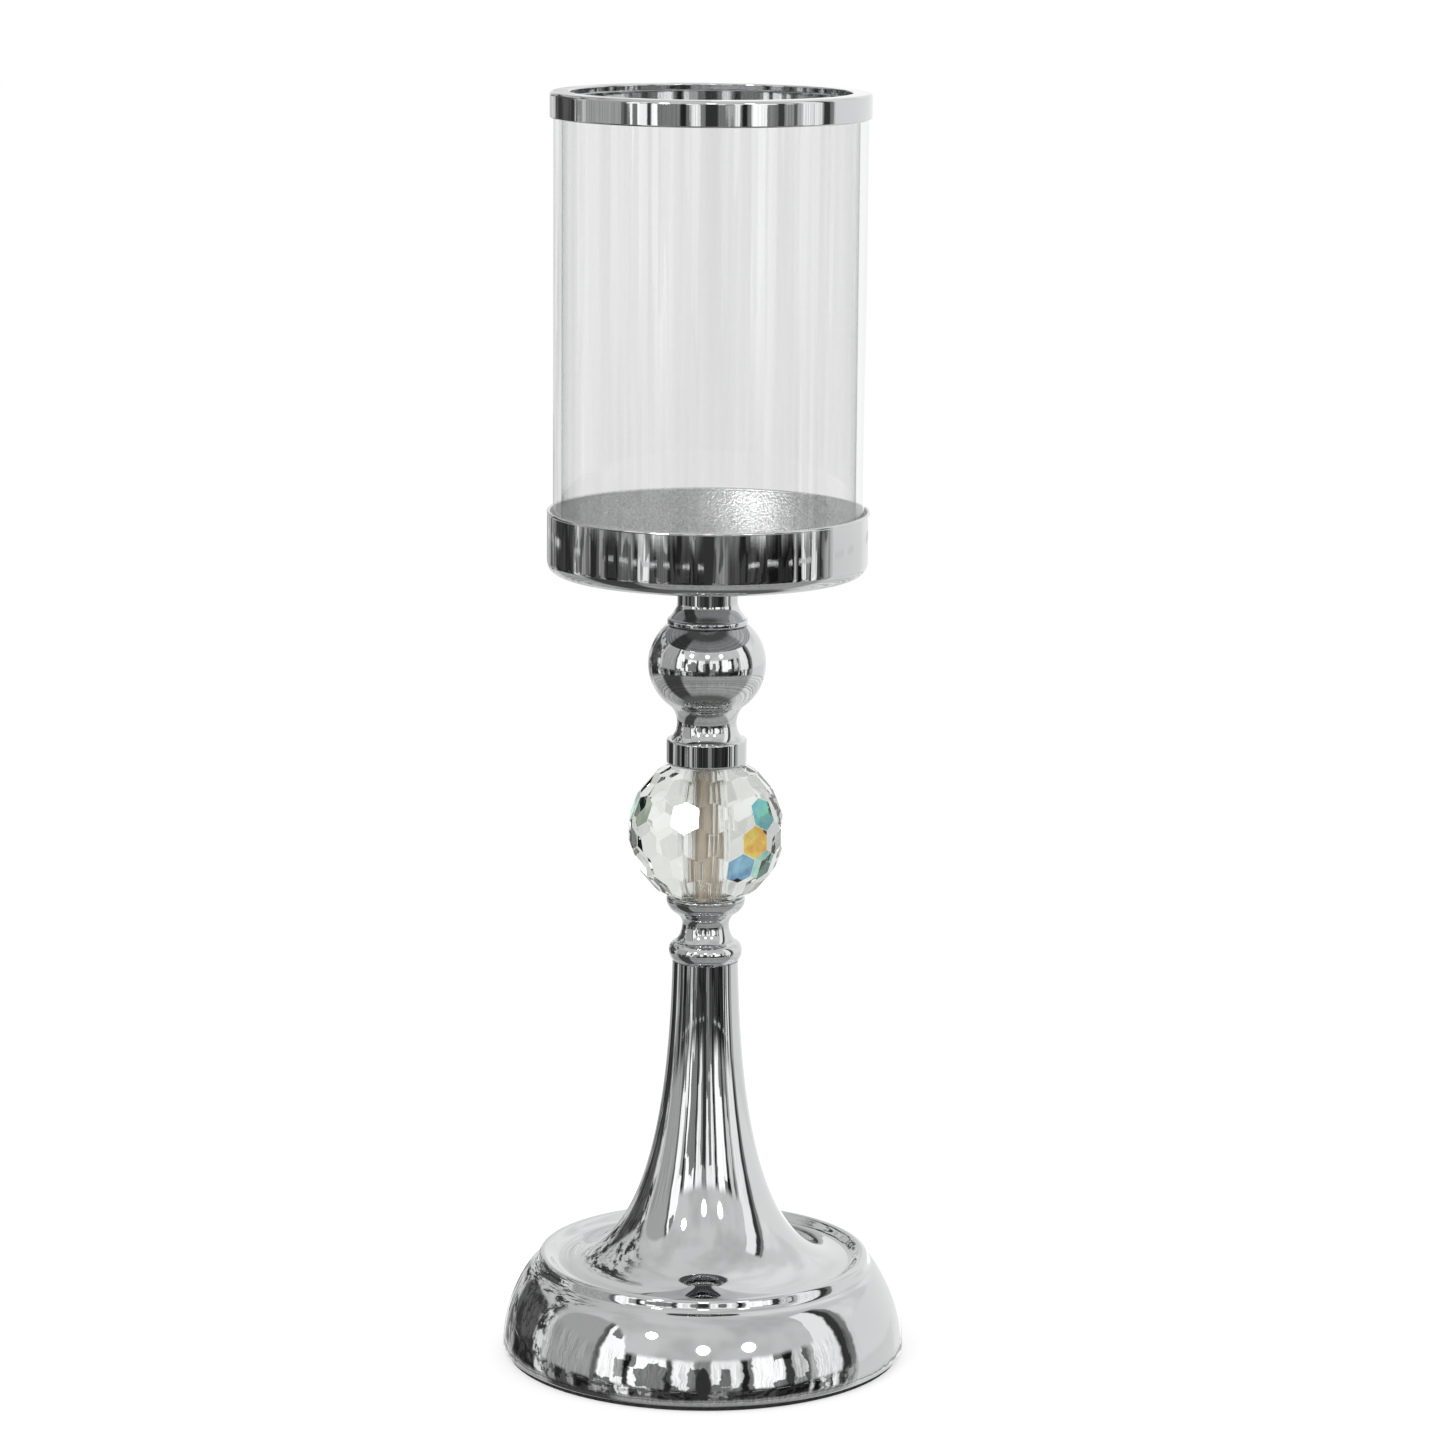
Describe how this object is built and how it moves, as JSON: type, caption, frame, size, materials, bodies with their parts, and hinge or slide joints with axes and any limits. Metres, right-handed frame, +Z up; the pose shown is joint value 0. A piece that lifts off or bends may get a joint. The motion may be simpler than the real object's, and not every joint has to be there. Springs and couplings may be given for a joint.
{
  "type": "hurricane candle lantern",
  "caption": "Tall chromed table lantern: trumpet foot, faceted crystal ball, shallow candle pan, loose glass cylinder and loose rim ring.",
  "frame": {"origin": "middle of the underside of the felt pad", "axes": "+Z up along the stem; the whole object is round about Z, except for the crystal's facets, the hexagons and the spring washer's slit"},
  "size_m": [0.1344, 0.1344, 0.421],
  "materials": {
    "chromed_sheet": "polished mirror chrome on spun steel",
    "chromed_metal": "polished mirror chrome on cast metal",
    "ballast": "rough cast, oiled",
    "zinc_steel": "bright zinc plated",
    "sleeve": "drawn tube, satin",
    "gasket": "clear soft washer, satin",
    "felt": "black felt",
    "crystal": "cut and polished crystal",
    "clear_glass": "clear drawn glass, fire-polished edges"
  },
  "bodies": {
    "stand": {"felt_pad": "felt", "base_shell": "chromed_sheet", "ballast_plate": "ballast", "base_washer": "zinc_steel", "base_lock_washer": "zinc_steel", "base_nut": "zinc_steel", "tie_rod": "zinc_steel", "stem_collar": "chromed_metal", "lower_crystal_gasket": "gasket", "crystal_ball": "crystal", "crystal_sleeve": "sleeve", "upper_crystal_gasket": "gasket", "ring_collar": "chromed_metal", "stem_ball": "chromed_metal", "neck_piece": "chromed_metal", "candle_pan": "chromed_sheet", "pan_washer": "zinc_steel", "pan_nut": "zinc_steel"},
    "glass": {"glass_cylinder": "clear_glass"},
    "rim": {"rim_ring": "chromed_sheet"}
  },
  "joints": [
    {"name": "glass_lift", "type": "slide", "parent": "stand", "child": "glass", "axis": [0, 0, 1], "range_m": [0, 0.16]},
    {"name": "ring_lift", "type": "slide", "parent": "glass", "child": "rim", "axis": [0, 0, 1], "range_m": [0, 0.05]}
  ]
}
